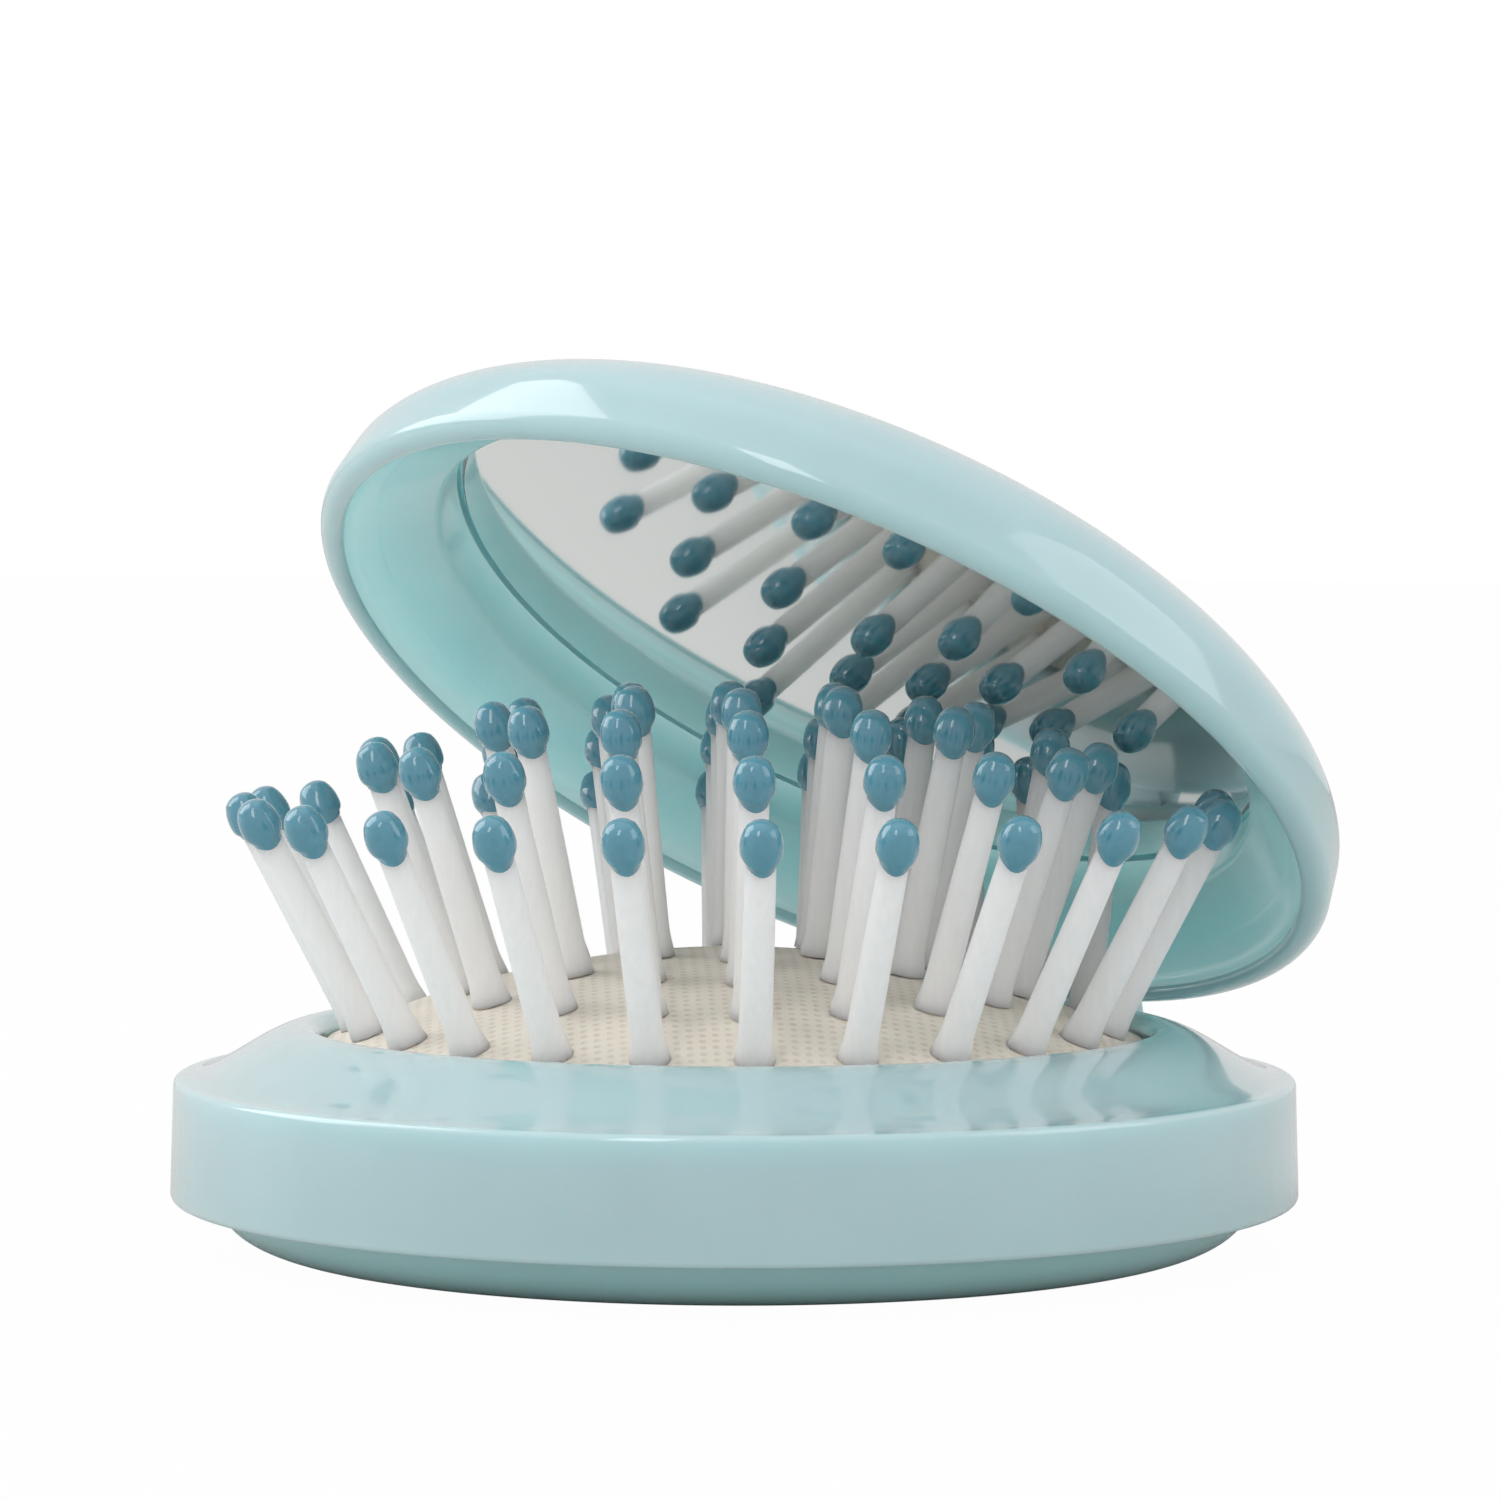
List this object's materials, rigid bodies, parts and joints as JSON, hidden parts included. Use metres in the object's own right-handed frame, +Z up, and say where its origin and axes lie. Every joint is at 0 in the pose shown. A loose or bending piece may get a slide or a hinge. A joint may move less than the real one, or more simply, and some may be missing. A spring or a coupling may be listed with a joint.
{
  "type": "folding hairbrush with mirror",
  "caption": "Round pocket hairbrush that folds shut: nylon pins on a rubber cushion sink into the base, pushed up by a domed foot, under a hinged lid with a mirror inside.",
  "frame": {"origin": "middle of the flat of the domed foot, with the brush raised", "axes": "+Z up through the middle of the base, +Y towards the hinge, +X along the hinge to the right as seen from the front"},
  "size_m": [0.072, 0.0756, 0.0563],
  "materials": {
    "case": "light aqua, glossy, slightly translucent",
    "button": "teal, glossy",
    "cushion": "cream, fine woven emboss",
    "retainer": "white, moulded",
    "pins": "white nylon, slightly translucent",
    "tips": "blue, glossy ball tips",
    "steel": "drawn wire",
    "mirror": "silvered glass",
    "tape": "foam adhesive disc"
  },
  "bodies": {
    "base": {"base_shell": "case", "cushion_retainer": "retainer", "cushion_pad": "cushion", "pins_outer": "pins", "tips_outer": "tips"},
    "hinge_rod": {"hinge_pin": "steel"},
    "lid": {"lid_shell": "case", "mirror_glass": "mirror", "mirror_tape": "tape"},
    "brush": {"pin_plate": "retainer", "pins_inner": "pins", "pins_second": "pins", "pins_third": "pins", "tips_inner": "tips", "tips_second": "tips", "tips_third": "tips"},
    "foot_button": {"push_button": "button"}
  },
  "joints": [
    {"name": "lid_open", "type": "hinge", "parent": "base", "child": "hinge_rod", "pos_m": [0, 0.03827, 0.00993], "axis": [-1, 0, 0], "range_deg": [0, 90]},
    {"name": "lid_fold", "type": "hinge", "parent": "hinge_rod", "child": "lid", "pos_m": [0, 0.03827, 0.00993], "axis": [-1, 0, 0], "range_deg": [-33.8, 0], "deforming": ["cushion_pad", "pins_outer", "tips_outer"]},
    {"name": "brush_sink", "type": "slide", "parent": "base", "child": "brush", "axis": [0, 0, 1], "range_m": [-0.0171, 0]},
    {"name": "button_slide", "type": "slide", "parent": "base", "child": "foot_button", "axis": [0, 0, 1], "range_m": [-0.0053, 0]}
  ],
  "couplings": [
    {"joint": "lid_fold", "follows": "brush_sink", "rad_per_m": 34.49},
    {"joint": "button_slide", "follows": "brush_sink", "ratio": 0.3098}
  ]
}
